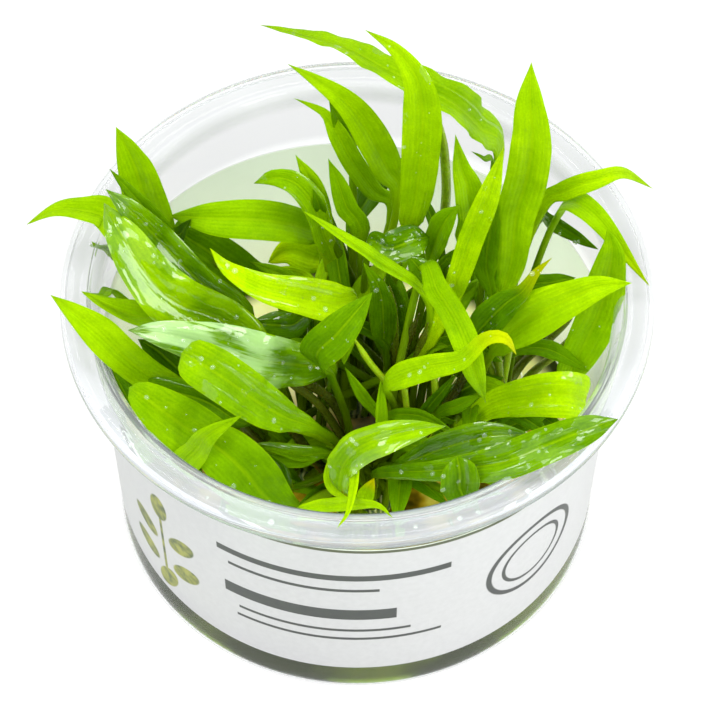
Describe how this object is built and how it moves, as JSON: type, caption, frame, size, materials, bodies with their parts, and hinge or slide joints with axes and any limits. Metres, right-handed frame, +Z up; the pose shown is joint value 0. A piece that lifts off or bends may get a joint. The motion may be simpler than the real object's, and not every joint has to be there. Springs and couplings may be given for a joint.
{
  "type": "potted cryptocoryne plant",
  "caption": "Clear plastic culture cup with a flanged lip and a wrap-around label, holding set gel and rosettes of long pointed green leaves that rise over the lip.",
  "frame": {"origin": "centre of the cup's flat underside", "axes": "+Z up, out of the cup's mouth; -Y towards the side that the picture looks at from above; +X to the right of that view"},
  "size_m": [0.106, 0.1, 0.103],
  "materials": {
    "clear_plastic": "clear, slightly milky, glossy",
    "label_paper": "smooth satin label stock",
    "culture_gel": "moist, soft gloss",
    "crown_flesh": "fibrous, dull",
    "leaf_green": "waxy, wet in places"
  },
  "bodies": {
    "root": {"crown_back": "crown_flesh", "crown_front": "crown_flesh", "crown_left": "crown_flesh", "crown_middle": "crown_flesh", "crown_right": "crown_flesh", "culture_gel": "culture_gel", "cup": "clear_plastic", "label": "label_paper", "leaf_back_arch": "leaf_green", "leaf_back_left_narrow": "leaf_green", "leaf_back_left_wide": "leaf_green", "leaf_back_shaded": "leaf_green", "leaf_back_tall": "leaf_green", "leaf_beside_tallest": "leaf_green", "leaf_bright_blade": "leaf_green", "leaf_centre_dark_fold": "leaf_green", "leaf_centre_dark_left": "leaf_green", "leaf_centre_dark_right": "leaf_green", "leaf_centre_drooping": "leaf_green", "leaf_centre_right_wet": "leaf_green", "leaf_centre_small_left": "leaf_green", "leaf_centre_small_upright": "leaf_green", "leaf_centre_wet": "leaf_green", "leaf_curl_over": "leaf_green", "leaf_far_left": "leaf_green", "leaf_front_cupped": "leaf_green", "leaf_front_curl": "leaf_green", "leaf_front_drooping": "leaf_green", "leaf_front_left_bent": "leaf_green", "leaf_front_left_broad": "leaf_green", "leaf_front_left_fold": "leaf_green", "leaf_front_left_low": "leaf_green", "leaf_front_left_wall": "leaf_green", "leaf_front_long": "leaf_green", "leaf_front_rim": "leaf_green", "leaf_front_wet": "leaf_green", "leaf_hooked": "leaf_green", "leaf_leaning_blade": "leaf_green", "leaf_left_back_broad": "leaf_green", "leaf_left_back_lower": "leaf_green", "leaf_left_rim_lower": "leaf_green", "leaf_left_rim_upper": "leaf_green", "leaf_left_tall": "leaf_green", "leaf_left_tall_second": "leaf_green", "leaf_left_wet_broad": "leaf_green", "leaf_left_wet_narrow": "leaf_green", "leaf_long_strap": "leaf_green", "leaf_pale_gloss": "leaf_green", "leaf_right_back_arch": "leaf_green", "leaf_right_back_dark": "leaf_green", "leaf_right_back_over": "leaf_green", "leaf_right_bright": "leaf_green", "leaf_right_front_broad": "leaf_green", "leaf_right_small": "leaf_green", "leaf_right_spear": "leaf_green", "leaf_right_wall": "leaf_green", "leaf_spear_left": "leaf_green", "leaf_spear_right": "leaf_green", "leaf_tallest": "leaf_green", "leaf_twisted_tip": "leaf_green"}
  },
  "joints": []
}
